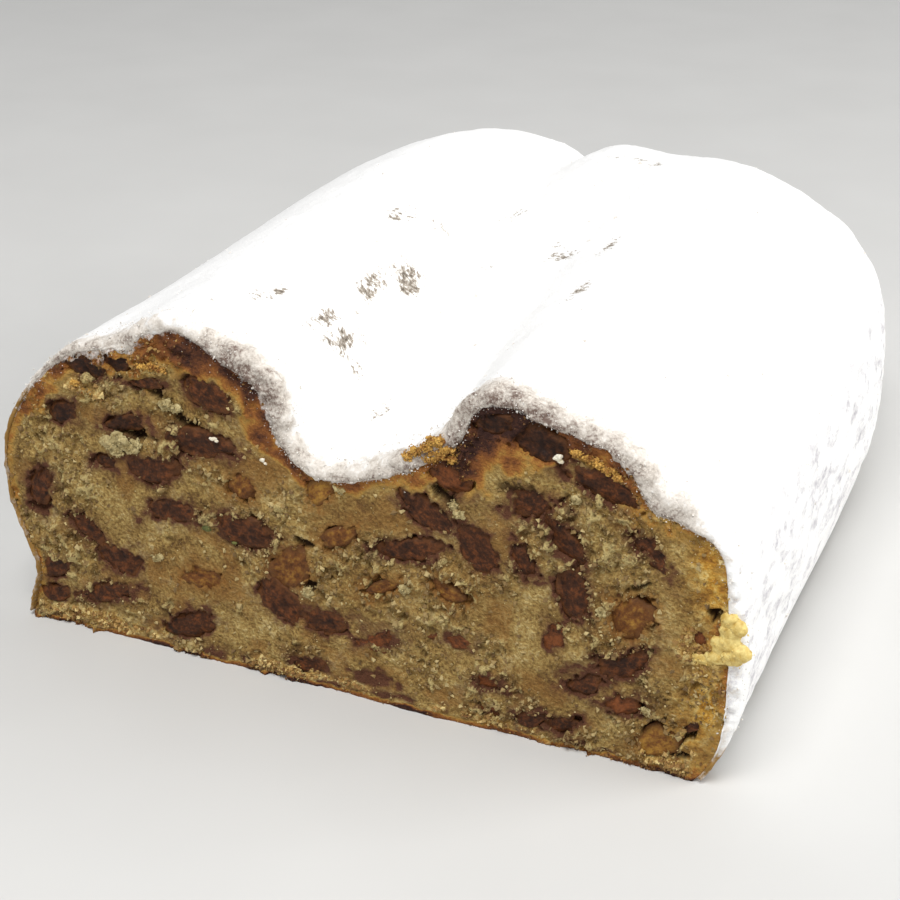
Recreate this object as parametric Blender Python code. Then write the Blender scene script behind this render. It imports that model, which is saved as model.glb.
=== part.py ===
"""The cut half of a stollen: a fruit loaf of rich yeast dough, folded, baked free and buried in icing sugar.

Blender 4.5. One unit is a metre and +Z is up. The loaf lies along Y with its cut face towards -Y. Every
shape is worked out in the loaf's own frame, in millimetres, with x = 0 at the middle of the base and
y = 0 at the cut. An empty then moves the whole piece, so that the origin is the middle of its footprint
on the surface that it stands on.

Pieces: loaf (crumb and crust, one solid), sugar_coat (the icing sugar over the crust), and the fruit that
the knife opened at the cut face: raisin_NN (dark raisins) and sultana_NN (golden ones).
"""

import bmesh
import bpy
import numpy as np
from mathutils import Matrix

MM = 0.001

# The loaf, mm
LOAF_LENGTH = 198.0        # cut face to far end
STRAIGHT_LENGTH = 88.0     # from the cut to where the far end starts to round off
PLAN_POWER = 2.45          # superellipse power of the rounded end, seen from above
SIDE_POWER = 2.9           # the same, seen from the side
FOOT_TUCK = 5.0            # how far the far end's foot is drawn in under its belly
TUCK_HEIGHT = 25.0         # height at which that drawing in ends
LEFT_SPREAD = 0.03         # growth of the left half's width towards the far end
RIGHT_SINK = 0.015         # loss of the right lobe's height towards the far end
SINK_REACH = 40.0          # half the width over which the right lobe sinks
LOBE_REACH = 2.0           # how far each lobe's end stands out past the fold
LOBE_MIDDLE = 38.0         # distance of each lobe's ridge from the middle
LOBE_WIDTH = 26.0          # half the width of that standing end
TOP_START = 30.0           # the top, where lobes and groove have their say, begins at this height
TOP_BLEND = 12.0           # and is in full force this much higher

# The fold's groove, which the cut shows at its deepest, mm
GROOVE_DRIFT = 15.0        # how far the groove has wandered to the left at the far end
GROOVE_MIDDLE = 4.0
GROOVE_REACH = 30.0
FILL_MIDDLE = 13.0         # the groove fills up from its right flank
FILL_REACH = 24.0
FILL_HEIGHT = 70.0         # the height that it fills up to
FILL_SHARE = 1.13
FILL_POWER = 0.8

# The cut face's outline, clockwise from the left foot: (across, up), mm
LEFT_SIDE = [(-69, 0), (-68.5, 3), (-66, 13), (-70.5, 26), (-70, 40), (-64, 51)]
LEFT_LOBE = [(-55, 60), (-45, 63.5), (-31, 69), (-20, 64), (-13, 59.5)]
FOLD = [(-10, 51), (-4, 45.5), (3, 45.5), (14, 50), (23, 56), (27, 63)]
RIGHT_LOBE = [(32, 66.5), (43, 64), (54, 60.5), (60, 52.5), (66, 50.5)]
RIGHT_SIDE = [(72, 47), (74, 38), (75, 22), (74.5, 10), (72, 3), (70, 0)]
OUTLINE = LEFT_SIDE + LEFT_LOBE + FOLD + RIGHT_LOBE + RIGHT_SIDE

EVEN_LENGTH = 45.0         # past this distance from the cut, the outline's small bumps have evened out

STEPS_PER_SPAN = 2         # outline samples between two of its points
STRAIGHT_STATIONS = 4      # sections along the straight stretch
ROUND_STATIONS = 9         # sections round the far end
LAST_TURN = 86.0           # degrees of the end's quarter turn at the last section

# The icing sugar, mm
GAP = 0.3                  # clearance between pieces that touch
SUGAR_THICKNESS = 2.2
THIN_SHARE = 0.3           # of that thickness, on the left side and down at the feet
LEFT_EDGE = -40.0          # the left side, where the dusting is thin, lies beyond this
FULL_HEIGHT = 20.0         # above this height the dusting is at its full thickness
CAUGHT_EXTRA = 0.9         # growth of the thickness where sugar has slid down and caught
CAUGHT_AT = [(-16.0, 7.0), (62.0, 6.0)]    # the groove's left slope and the right shoulder: middle, reach

# The fruit in the cut face. Each row is one fruit: across and up to its middle, its length and width,
# and its tilt in degrees, anticlockwise as the face is seen. The rows go from the left side to the right.
FRUIT_DEPTH = 0.9          # a fruit's extent into the loaf, as a share of its width
FRUIT_SIDES = 6            # facets round a fruit
FRUIT_RINGS = 4            # and along it
FACET_GROWTH = 1.09        # corners stand out so that the flats between them keep the size
BEHIND_CUT = 0.15          # how far a fruit's middle lies behind the cut, as a share of its width
RAISINS = [
    (-64, 30, 8.0, 4.8, 69), (-62, 12.5, 5.6, 4.0, 37), (-63, 6.5, 5.4, 3.6, 20),
    (-57, 48, 5.8, 4.6, 29), (-54, 23.5, 7.9, 4.0, -31), (-51, 58.2, 7.0, 3.8, -4),
    (-51, 9, 12.0, 3.8, 18), (-48, 39, 4.2, 3.0, -7), (-47, 18, 9.0, 6.4, 12),
    (-43.5, 60.8, 5.2, 3.8, 10), (-43, 48, 7.0, 3.2, 16), (-38.5, 57.2, 6.2, 2.4, 3),
    (-38, 39.5, 10.8, 6.0, 5), (-34, 31.3, 9.7, 4.6, 8), (-32, 6.8, 11.0, 6.0, 24),
    (-26.5, 47, 14.0, 4.6, 3), (-25, 57.6, 8.6, 6.0, -20), (-18.5, 30.5, 11.3, 6.4, -8),
    (-11.5, 17, 9.0, 6.6, -40), (-6.5, 4.6, 7.5, 4.4, 10), (-2.5, 14.6, 7.6, 5.4, 8),
    (9, 13.8, 11.5, 4.8, 18), (15.5, 34.3, 12.4, 4.2, 15), (19, 42.8, 10.4, 5.8, -32),
    (23, 50.3, 7.0, 4.6, -23), (24, 17.3, 7.8, 3.0, 5), (28.8, 37.3, 8.8, 6.8, -46),
    (31.5, 62.4, 6.4, 4.2, 3), (31, 10.5, 7.5, 4.0, 11), (31.5, 3.6, 7.0, 3.2, 8),
    (37.3, 37.2, 7.0, 3.4, -61), (38.5, 48.5, 9.0, 5.0, 18), (40, 60, 9.8, 6.4, -2),
    (38.8, 4.2, 5.4, 3.8, 20), (43.5, 23.2, 7.2, 5.8, 75), (44.5, 42.8, 10.2, 4.6, -47),
    (45.2, 5, 5.8, 3.4, 20), (46.6, 32.6, 9.0, 6.4, -82), (49.5, 14.6, 5.6, 3.4, 24),
    (51.5, 54.6, 11.0, 4.6, -17), (56.2, 12, 6.6, 4.4, 20), (56, 20.6, 9.6, 4.6, 28),
    (60.3, 43.8, 10.0, 3.8, -46), (70, 29.6, 4.2, 3.4, 56), (69.8, 11.4, 5.0, 2.8, 15),
]
SULTANAS = [
    (-28.5, 18, 8.6, 5.0, 0), (-18.7, 40.3, 5.6, 5.0, 51), (-9.5, 24.6, 8.2, 7.0, 44),
    (-2.3, 42, 5.6, 4.4, 46), (1, 33.8, 7.6, 3.6, 33), (10, 25.2, 6.8, 3.0, 30),
    (22.8, 27.4, 6.4, 3.2, -19), (57.4, 30.6, 8.4, 7.8, 60), (63.4, 6, 7.8, 5.6, 40),
]


def new_collection(name):
    """A collection of the scene with this name."""
    made = bpy.data.collections.new(name)
    bpy.context.scene.collection.children.link(made)
    return made


def food_material(name, colour, roughness):
    """A Principled material: colour is linear red, green and blue."""
    made = bpy.data.materials.new(name)
    made.use_nodes = True
    shader = made.node_tree.nodes["Principled BSDF"]
    shader.inputs["Base Color"].default_value = (*colour, 1.0)
    shader.inputs["Roughness"].default_value = roughness
    shader.inputs["Metallic"].default_value = 0.0
    return made


def curve_through(points, steps):
    """Catmull-Rom curve through the points, with this many samples for each span and the last point."""
    p = np.array(points, float)
    ends = np.vstack([2 * p[0] - p[1], p, 2 * p[-1] - p[-2]])
    s = np.arange((len(p) - 1) * steps + 1) / steps
    i = np.minimum(s.astype(int), len(p) - 2)
    t = (s - i)[:, None]
    a, b, c, d = ends[i], ends[i + 1], ends[i + 2], ends[i + 3]
    return 0.5 * (2 * b + (c - a) * t + (2 * a - 5 * b + 4 * c - d) * t**2 + (3 * b - a - 3 * c + d) * t**3)


def bell(x, middle, reach):
    """A bump of height 1 at the middle that dies away over the reach."""
    return np.exp(-(((x - middle) / reach) ** 2))


def evened(points):
    """The outline's points, each drawn towards its neighbours except at the feet."""
    p = np.array(points, float)
    p[2:-2] = (p[1:-3] + 2 * p[2:-2] + p[3:-1]) / 4
    return p


def loft(outlines, longer=0.0):
    """The section carried along the loaf: an array of stations by outline points by (x, y, z).

    The two outlines are the cut face's and the evened one, and the section goes from one to the other.
    The stations crowd where the far end rounds off, and longer is added to that end's length.

    With t the share of the length, the groove drifts left and fills up as t grows. Past the straight
    stretch the width and the height shrink as superellipses, and the foot of the end draws in.
    """
    end_length = LOAF_LENGTH + longer - STRAIGHT_LENGTH
    straight = np.linspace(0, STRAIGHT_LENGTH, STRAIGHT_STATIONS, endpoint=False)
    rounding = np.sin(np.radians(np.linspace(0, LAST_TURN, ROUND_STATIONS)))
    y = np.concatenate([straight, STRAIGHT_LENGTH + end_length * rounding])[:, None]
    t = y / LOAF_LENGTH
    turn = np.clip((y - STRAIGHT_LENGTH) / end_length, 0, 1)
    even = np.clip(y / EVEN_LENGTH, 0, 1)
    even = even**2 * (3 - 2 * even)
    x0, z0 = (outlines[0][:, k] * (1 - even) + outlines[1][:, k] * even for k in (0, 1))
    on_top = np.clip((z0 - TOP_START) / TOP_BLEND, 0, 1)
    fill = np.clip(FILL_SHARE * t**FILL_POWER * bell(x0, FILL_MIDDLE, FILL_REACH), 0, 1) * on_top
    width = (1 - turn**PLAN_POWER) ** (1 / PLAN_POWER)
    height = (1 - turn**SIDE_POWER) ** (1 / SIDE_POWER)
    drift = GROOVE_DRIFT * t * bell(x0, GROOVE_MIDDLE, GROOVE_REACH) * on_top
    x = (x0 - drift) * np.where(x0 < 0, 1 + LEFT_SPREAD * t, 1) * width
    sink = 1 - RIGHT_SINK * t * bell(x0, LOBE_MIDDLE, SINK_REACH)
    z = (z0 + (FILL_HEIGHT - z0) * fill) * sink * height
    lobes = bell(x0, -LOBE_MIDDLE, LOBE_WIDTH) + bell(x0, LOBE_MIDDLE, LOBE_WIDTH)
    reach = LOBE_REACH * lobes * on_top * t**2 * width
    tuck = FOOT_TUCK * turn**4 * np.clip(1 - z / TUCK_HEIGHT, 0, 1) ** 2
    return np.stack([x, y + reach - tuck + 0 * z, z], 2)


def outward(outline):
    """Unit normals of an outline that runs clockwise, evened out so that they don't cross in a fold."""
    along = np.gradient(outline, axis=0)
    normal = np.stack([-along[:, 1], along[:, 0]], 1)
    normal /= np.linalg.norm(normal, axis=1, keepdims=True)
    for _ in range(2):
        normal[1:-1] = normal[:-2] + 2 * normal[1:-1] + normal[2:]
        normal /= np.linalg.norm(normal, axis=1, keepdims=True)
    return normal


def strip_faces(rows, columns, closed):
    """Triangles between neighbouring rows of a grid, whose diagonals all run the same way."""
    last = columns if closed else columns - 1
    row, column = np.meshgrid(np.arange(rows - 1), np.arange(last), indexing="ij")
    a = (row * columns + column).ravel()
    b = (row * columns + (column + 1) % columns).ravel()
    c, d = b + columns, a + columns
    return np.concatenate([np.stack([a, b, c], 1), np.stack([a, c, d], 1)]).tolist()


def end_fan(rows, columns, closed):
    """Triangles from the last row to a tip, which is the point after the grid's."""
    first = (rows - 1) * columns
    last = columns if closed else columns - 1
    return [(first + i, first + (i + 1) % columns, rows * columns) for i in range(last)]


def with_tip(grid):
    """The grid's points and, last, the far end's tip: midway between the feet, as far out as they reach."""
    tip = (grid[-1, 1] + grid[-1, -2]) / 2
    tip[1] = grid[-1, :, 1].min()
    return np.vstack([grid.reshape(-1, 3), tip])


def new_object(name, points, faces, material, collection, parent):
    """A mesh object from points in mm."""
    mesh = bpy.data.meshes.new(name)
    mesh.from_pydata((np.asarray(points) * MM).tolist(), [], faces)
    mesh.materials.append(material)
    made = bpy.data.objects.new(name, mesh)
    collection.objects.link(made)
    made.parent = parent
    return made


def make_loaf(outlines, material, collection, parent):
    """Crumb and crust in one: the loft, closed by the cut face in front and a fan at the far end."""
    grid = loft(outlines)
    rows, columns = grid.shape[:2]
    faces = strip_faces(rows, columns, True) + end_fan(rows, columns, True)
    faces.append(list(range(columns))[::-1])
    loaf = new_object("loaf", with_tip(grid), faces, material, collection, parent)
    loaf.data.shade_smooth()
    loaf.data.set_sharp_from_angle(angle=np.radians(50))
    return loaf


def make_sugar_coat(outlines, material, collection, parent):
    """The coat: an inner and an outer loft over all but the base, joined round their common border.

    The inner one clears the crust by GAP. The dusting is thin on the left side and down at the feet, and
    thick where it has slid down and caught.
    """
    across, up = outlines[0].T
    share = np.clip(up / FULL_HEIGHT, THIN_SHARE, 1)
    share[across < LEFT_EDGE] = THIN_SHARE
    share *= 1 + CAUGHT_EXTRA * sum(bell(across, *place) for place in CAUGHT_AT) * (up > FULL_HEIGHT)
    outside = (GAP + SUGAR_THICKNESS * share)[:, None]
    inner = loft([o + GAP * outward(o) for o in outlines], GAP)[:, 1:-1]
    outer = loft([o + outside * outward(o) for o in outlines], GAP + SUGAR_THICKNESS)[:, 1:-1]
    rows, columns = outer.shape[:2]
    skin = strip_faces(rows, columns, False) + end_fan(rows, columns, False)
    within = rows * columns + 1
    front = list(range(columns))
    right = list(range(2 * columns - 1, rows * columns, columns))
    left = list(range((rows - 1) * columns, 0, -columns))
    border = front + right + [rows * columns] + left
    rim = [
        (after, here, here + within, after + within)
        for here, after in zip(border, border[1:] + border[:1])
    ]
    lining = [(c + within, b + within, a + within) for a, b, c in skin]
    points = np.vstack([with_tip(outer), with_tip(inner)])
    coat = new_object("sugar_coat", points, skin + lining + rim, material, collection, parent)
    coat.data.shade_smooth()
    coat.data.set_sharp_from_angle(angle=np.radians(50))
    return coat


def fruit_mesh(name, row, grow):
    """One fruit, grown by this much all round: a sphere stretched to its size, dented and tilted."""
    across, up, length, width, tilt = row
    half = FACET_GROWTH * np.array([length / 2, width * FRUIT_DEPTH / 2, width / 2]) + grow
    bm = bmesh.new()
    bmesh.ops.create_uvsphere(bm, u_segments=FRUIT_SIDES, v_segments=FRUIT_RINGS, radius=1.0)
    bmesh.ops.rotate(bm, verts=bm.verts, matrix=Matrix.Rotation(np.pi / 2, 3, "Y"))
    for vert in bm.verts:
        around = np.arctan2(vert.co.z, vert.co.y)
        dent = 1 + 0.05 * np.sin(3 * around + across) * (1 - abs(vert.co.x))
        vert.co.x *= half[0] * MM
        vert.co.y *= half[1] * dent * MM
        vert.co.z *= half[2] * dent * MM
    bmesh.ops.rotate(bm, verts=bm.verts, matrix=Matrix.Rotation(-np.radians(tilt), 3, "Y"))
    middle = (across * MM, BEHIND_CUT * width * MM, up * MM)
    bmesh.ops.translate(bm, verts=bm.verts, vec=middle)
    return bm


def make_fruit(name, row, material, collection, parent):
    """A fruit sliced flush with the cut face: what stood in front of the knife is gone."""
    bm = fruit_mesh(name, row, 0.0)
    geometry = bm.verts[:] + bm.edges[:] + bm.faces[:]
    cut = bmesh.ops.bisect_plane(
        bm, geom=geometry, plane_co=(0, 0, 0), plane_no=(0, 1, 0), clear_inner=True
    )
    edges = [e for e in cut["geom_cut"] if isinstance(e, bmesh.types.BMEdge)]
    bmesh.ops.contextual_create(bm, geom=edges)
    bmesh.ops.recalc_face_normals(bm, faces=bm.faces)
    mesh = bpy.data.meshes.new(name)
    bm.to_mesh(mesh)
    bm.free()
    mesh.materials.append(material)
    mesh.shade_smooth()
    mesh.set_sharp_from_angle(angle=np.radians(60))
    fruit = bpy.data.objects.new(name, mesh)
    collection.objects.link(fruit)
    fruit.parent = parent
    return fruit


def make_pocket(name, row, collection, parent):
    """The cutter for the hollow that a fruit sits in, GAP wider than the fruit all round."""
    bm = fruit_mesh(name, row, GAP)
    mesh = bpy.data.meshes.new(name)
    bm.to_mesh(mesh)
    bm.free()
    pocket = bpy.data.objects.new(name, mesh)
    collection.objects.link(pocket)
    pocket.parent = parent
    pocket.hide_render = True
    pocket.display_type = "WIRE"


def stand_on_origin(holder, solids):
    """Moves the whole piece so that the origin is the middle of its footprint."""
    bpy.context.view_layer.update()
    graph = bpy.context.evaluated_depsgraph_get()
    boxes = [np.array(solid.evaluated_get(graph).bound_box) for solid in solids]
    low = np.min([box.min(axis=0) for box in boxes], axis=0)
    high = np.max([box.max(axis=0) for box in boxes], axis=0)
    middle = (low + high) / 2
    holder.location = (-middle[0], -middle[1], -low[2])


for old in list(bpy.data.objects):
    bpy.data.objects.remove(old, do_unlink=True)

parts = new_collection("stollen")
cutters = new_collection("cutters")
stand = bpy.data.objects.new("stollen_origin", None)
parts.objects.link(stand)

sections = [curve_through(OUTLINE, STEPS_PER_SPAN), curve_through(evened(OUTLINE), STEPS_PER_SPAN)]
loaf = make_loaf(sections, food_material("crumb", (0.36, 0.25, 0.11), 0.9), parts, stand)
coat = make_sugar_coat(sections, food_material("icing sugar", (0.93, 0.93, 0.91), 0.95), parts, stand)

kinds = {
    "raisin": (RAISINS, food_material("raisin", (0.075, 0.03, 0.017), 0.45)),
    "sultana": (SULTANAS, food_material("sultana", (0.26, 0.12, 0.035), 0.4)),
}
for kind, (rows, fruit_material) in kinds.items():
    for number, row in enumerate(rows, start=1):
        make_fruit(f"{kind}_{number:02d}", row, fruit_material, parts, stand)
        make_pocket(f"{kind}_pocket_{number:02d}", row, cutters, stand)

pockets = loaf.modifiers.new("fruit pockets", "BOOLEAN")
pockets.operation = "DIFFERENCE"
pockets.solver = "EXACT"
pockets.operand_type = "COLLECTION"
pockets.collection = cutters

stand_on_origin(stand, [loaf, coat])
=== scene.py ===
"""The looks of the cut half of a stollen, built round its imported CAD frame. Blender 4.5.

Shapes are worked out in millimetres in the loaf's own frame: x across the cut face, y from the cut into
the loaf, z up from the base. LOAF_ORIGIN then carries them into the CAD's frame, in metres.
"""

from itertools import product
from math import pi, radians

import bpy
import numpy as np
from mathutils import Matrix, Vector


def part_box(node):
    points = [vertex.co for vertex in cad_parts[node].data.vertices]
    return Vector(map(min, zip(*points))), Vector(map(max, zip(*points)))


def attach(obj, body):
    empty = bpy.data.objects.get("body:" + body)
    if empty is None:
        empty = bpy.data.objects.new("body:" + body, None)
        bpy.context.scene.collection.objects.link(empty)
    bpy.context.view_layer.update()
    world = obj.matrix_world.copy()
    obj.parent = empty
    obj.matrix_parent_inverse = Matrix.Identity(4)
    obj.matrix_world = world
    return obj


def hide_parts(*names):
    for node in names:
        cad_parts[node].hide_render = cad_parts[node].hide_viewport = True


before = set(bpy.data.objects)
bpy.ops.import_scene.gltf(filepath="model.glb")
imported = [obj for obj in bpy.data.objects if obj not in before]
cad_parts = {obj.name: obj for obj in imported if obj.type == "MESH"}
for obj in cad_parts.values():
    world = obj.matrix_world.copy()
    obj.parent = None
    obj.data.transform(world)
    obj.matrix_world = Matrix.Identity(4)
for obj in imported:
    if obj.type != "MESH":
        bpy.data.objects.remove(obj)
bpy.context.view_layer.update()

# ---------------------------------------------------------------------------------------------------
# The loaf: rich, heavy yeast dough, folded into two lobes with a groove between and baked free on a sheet,
# then cut across. Crumb and crust are one mesh: the cut face is a fine grid, torn and pitted by the knife,
# and the crust runs from its border to the far end.

MM = 0.001
LOAF_LENGTH = 198.0
STRAIGHT_LENGTH = 88.0      # from the cut to where the far end starts to round off
PLAN_POWER = 2.45           # superellipse powers of that end, from above and from the side
SIDE_POWER = 2.9
FOOT_TUCK = 5.0             # how far the end's foot draws in under its belly, up to TUCK_HEIGHT
TUCK_HEIGHT = 25.0
LEFT_SPREAD = 0.03          # growth of the left half's width towards the far end
RIGHT_SINK = 0.015          # loss of the right lobe's height there
SINK_REACH = 40.0
LOBE_REACH = 2.0            # how far each lobe's end stands out past the fold
LOBE_MIDDLE = 38.0
LOBE_WIDTH = 26.0
TOP_START = 30.0            # the top, with its lobes and groove, begins at this height
TOP_BLEND = 12.0
GROOVE_DRIFT = 15.0         # the groove wanders this far to the left
GROOVE_MIDDLE = 4.0
GROOVE_REACH = 30.0
FILL_MIDDLE = 13.0          # and fills up from its right flank
FILL_REACH = 24.0
FILL_HEIGHT = 70.0
FILL_SHARE = 1.13
FILL_POWER = 0.8
EVEN_LENGTH = 45.0          # past this distance from the cut the outline's small bumps have evened out
LEFT_SIDE = [(-69, 0), (-68.5, 3), (-66, 13), (-70.5, 26), (-70, 40), (-64, 51)]
LEFT_LOBE = [(-55, 60), (-45, 63.5), (-31, 69), (-20, 64), (-13, 59.5)]
FOLD = [(-10, 51), (-4, 45.5), (3, 45.5), (14, 50), (23, 56), (27, 63)]
RIGHT_LOBE = [(32, 66.5), (43, 64), (54, 60.5), (60, 52.5), (66, 50.5)]
RIGHT_SIDE = [(72, 47), (74, 38), (75, 22), (74.5, 10), (72, 3), (70, 0)]
OUTLINE = LEFT_SIDE + LEFT_LOBE + FOLD + RIGHT_LOBE + RIGHT_SIDE

FACE_COLUMNS = 470          # grid of the cut face
FACE_ROWS = 168
COAT_PLACES = (0.5, 26.5)   # where along the outline the sugar coat starts and ends, just above the base
SHOULDERS = (5.5, 22.5)     # the outline's points between which the face's top runs
LAST_PLACE = len(OUTLINE) - 1
CRUST_STARTS = [0.8, 2.4, 4.5, 7.0]     # the crust's first rows, mm from the cut
CRUST_ROWS = (21, 24)       # and how many more there are along the straight stretch and round the end
CRUST_THINNED = 4           # after the first row only every fourth point goes on
TIP_ANGLE = 89.0            # degrees of the end's quarter turn at the last row before the tip

KNIFE_WAVE = 0.45           # mm: how far the cut wanders from flat, over tens of mm
TORN_PATCH = 8.0            # mm: size of the patches where the crumb has torn instead of being sliced
PORE_SPACING = 2.7
PORE_DEPTH = 1.1
GRAIN = 1.0                 # mm: size of the crumb's grains
FRUIT_BEND = 0.45           # how far the fruits' long axes may bend, as a share of their half width
FRUIT_RECESS = 2.0          # depth of the hollow that each fruit lies in
# Tears in the cut: across and up to the middle, half length, half width, tilt in degrees, depth
TEARS = [
    (-42, 47, 3.6, 1.5, -25, 3.0), (-28, 50, 5.5, 1.1, -22, 1.8), (-37, 56, 3.0, 0.9, -8, 1.6),
    (36.5, 50.6, 4.0, 1.3, -5, 0.8), (62.7, 9.4, 3.2, 0.9, 38, 2.6), (67.8, 8.6, 2.6, 0.8, 52, 2.4),
    (29, 4.6, 2.2, 0.4, -35, 1.8), (72.2, 34.6, 1.5, 1.3, 60, 2.6), (59.5, 37.4, 2.4, 0.8, 25, 1.3),
    (-5.5, 30.6, 2.6, 0.6, -14, 1.2), (22.6, 46.5, 2.2, 1.2, -30, 2.2), (67, 4.4, 2.2, 0.7, 10, 1.6),
    (-4.4, 21.5, 1.9, 0.7, 5, 1.5), (-15.5, 33.5, 2.4, 0.8, -28, 1.5),
]
# Where the crumb is golden and granular with butter and sugar: the same, but a strength for the depth
GOLDEN_PATCHES = [
    (21.0, 56.4, 4.2, 3.6, 30, 1), (15.0, 52.0, 5.5, 1.8, 24, 1), (50.5, 59.0, 4.6, 1.5, -24, 1),
    (-36, 60.6, 4.5, 1.6, 12, 1), (64, 6.5, 4.2, 2.8, 35, 1), (66, 3.0, 5.0, 2.2, 10, 1),
    (-1.0, 44.4, 4.4, 2.2, -10, 1), (-52, 2.8, 17, 1.7, 0, 1), (68.5, 27.5, 3.0, 4.0, 20, 1),
    (-53.5, 54.2, 2.8, 2.2, 30, 1), (-48, 53.0, 2.0, 1.6, 0, 1), (-8, 2.4, 12, 1.3, 0, 1),
    (30, 2.2, 9, 1.2, 0, 1),
]
# Fruit close under the crumb, seen as soft dark smears: the same again
SMEARS = [
    (8.1, 4.8, 6.2, 2.4, -3, 0.95), (14.5, 2.4, 3.6, 0.8, -2, 0.9), (-5.4, 4.2, 5.2, 2.6, 8, 0.9),
    (30.5, 1.8, 5.2, 1.3, -2, 0.8), (46.5, 16.5, 3.4, 3.0, 0, 0.6), (8.5, 15.5, 6.6, 3.2, -5, 0.5),
]


def curve_at(points, s):
    """Catmull-Rom curve: the point at place s, where whole numbers are the given points."""
    p = np.array(points, float)
    ends = np.vstack([2 * p[0] - p[1], p, 2 * p[-1] - p[-2]])
    i = np.clip(np.floor(s).astype(int), 0, len(p) - 2)
    t = (s - i)[..., None]
    a, b, c, d = ends[i], ends[i + 1], ends[i + 2], ends[i + 3]
    return 0.5 * (2 * b + (c - a) * t + (2 * a - 5 * b + 4 * c - d) * t**2 + (3 * b - a - 3 * c + d) * t**3)


def outward_at(points, s):
    """Unit normals of the curve: taken at half points, evened out with their neighbours, interpolated."""
    half = np.arange(0, len(points) - 0.5, 0.5)
    along = np.gradient(curve_at(points, half), axis=0)
    normal = np.stack([-along[:, 1], along[:, 0]], 1)
    for _ in range(3):
        normal /= np.linalg.norm(normal, axis=1, keepdims=True)
        normal[1:-1] = normal[:-2] + 2 * normal[1:-1] + normal[2:]
    normal = np.stack([np.interp(s, half, normal[:, k]) for k in (0, 1)], -1)
    return normal / np.linalg.norm(normal, axis=-1, keepdims=True)


def evened(points):
    """The outline's points, each drawn towards its neighbours except at the feet."""
    p = np.array(points, float)
    p[2:-2] = (p[1:-3] + 2 * p[2:-2] + p[3:-1]) / 4
    return p


def bell(x, middle, reach):
    """A bump of height 1 at the middle that dies away over the reach."""
    return np.exp(-(((x - middle) / reach) ** 2))


def ease(x, low, high):
    """0 below low, 1 above high and smooth between."""
    t = np.clip((x - low) / (high - low), 0, 1)
    return t * t * (3 - 2 * t)


def loft(s, y, lift=0.0, longer=0.0):
    """The loaf's skin at places s along its outline and distances y from the cut, lifted off the crust.

    With t the share of the length, the groove drifts left and fills up as t grows. Past the straight
    stretch the width and the height shrink as superellipses, and the foot of the end draws in.
    """
    lift = np.asarray(lift, float)[..., None]
    cut, even = (curve_at(p, s) + lift * outward_at(p, s) for p in (OUTLINE, evened(OUTLINE)))
    t = np.clip(y, 0, None) / LOAF_LENGTH
    turn = np.clip((y - STRAIGHT_LENGTH) / (LOAF_LENGTH + longer - STRAIGHT_LENGTH), 0, 1)
    share = ease(y, 0, EVEN_LENGTH)[..., None]
    x0, z0 = np.moveaxis(cut * (1 - share) + even * share, -1, 0)
    on_top = np.clip((z0 - TOP_START) / TOP_BLEND, 0, 1)
    fill = np.clip(FILL_SHARE * t**FILL_POWER * bell(x0, FILL_MIDDLE, FILL_REACH), 0, 1) * on_top
    width = (1 - turn**PLAN_POWER) ** (1 / PLAN_POWER)
    height = (1 - turn**SIDE_POWER) ** (1 / SIDE_POWER)
    drift = GROOVE_DRIFT * t * bell(x0, GROOVE_MIDDLE, GROOVE_REACH) * on_top
    x = (x0 - drift) * np.where(x0 < 0, 1 + LEFT_SPREAD * t, 1) * width
    z = (z0 + (FILL_HEIGHT - z0) * fill) * (1 - RIGHT_SINK * t * bell(x0, LOBE_MIDDLE, SINK_REACH)) * height
    lobes = bell(x0, -LOBE_MIDDLE, LOBE_WIDTH) + bell(x0, LOBE_MIDDLE, LOBE_WIDTH)
    reach = LOBE_REACH * lobes * on_top * t**2 * width
    tuck = FOOT_TUCK * turn**4 * np.clip(1 - z / TUCK_HEIGHT, 0, 1) ** 2
    return np.stack([x, y + reach - tuck + 0 * z, z], -1)


def stations(first, straight_rows, round_rows, longer=0.0):
    """Distances from the cut, as a column: the first ones as given, then evenly to the end of the straight
    stretch, then at equal angles of the rounded end's quarter turn."""
    straight = np.linspace(first[-1], STRAIGHT_LENGTH, straight_rows + 1, endpoint=False)[1:]
    rounding = np.sin(np.radians(np.linspace(0, TIP_ANGLE, round_rows)))
    end = STRAIGHT_LENGTH + (LOAF_LENGTH + longer - STRAIGHT_LENGTH) * rounding
    return np.concatenate([first, straight, end])[:, None]


def chance(cell, seed):
    """A fixed random number from 0 to 1 for each lattice corner: what is left over of a large sine."""
    phase = cell @ np.array([127.1, 311.7, 74.7])[: cell.shape[-1]] + 19.19 * seed
    return np.mod(np.sin(phase) * 43758.5453, 1)


def noise(points, size, seed):
    """Value noise, -1 to 1: random numbers at lattice corners, this size apart, blended between them."""
    cell = np.floor(points / size)
    part = points / size - cell
    part = part * part * (3 - 2 * part)
    total = 0
    for corner in product((0, 1), repeat=points.shape[-1]):
        corner = np.array(corner)
        total = total + np.prod(np.where(corner, part, 1 - part), axis=-1) * chance(cell + corner, seed)
    return 2 * total - 1


def rough(points, size, seed, octaves=3):
    """Noise of this size, and half as much of half the size, and so on."""
    return sum(noise(points, size / 2**k, seed + k) / 2**k for k in range(octaves))


def nearest(points, spacing, seed):
    """Distance in mm to the nearest of centres strewn one to a lattice cell, and that centre's number."""
    place = points / spacing
    best = np.full(points.shape[:-1], 9.0)
    own = np.zeros(points.shape[:-1])
    for step in product((-1, 0, 1), repeat=points.shape[-1]):
        cell = np.floor(place) + np.array(step)
        centre = cell + np.stack([chance(cell, seed + k) for k in range(points.shape[-1])], -1)
        gap = np.linalg.norm(place - centre, axis=-1)
        own = np.where(gap < best, chance(cell, seed + 7), own)
        best = np.minimum(best, gap)
    return best * spacing, own


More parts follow.
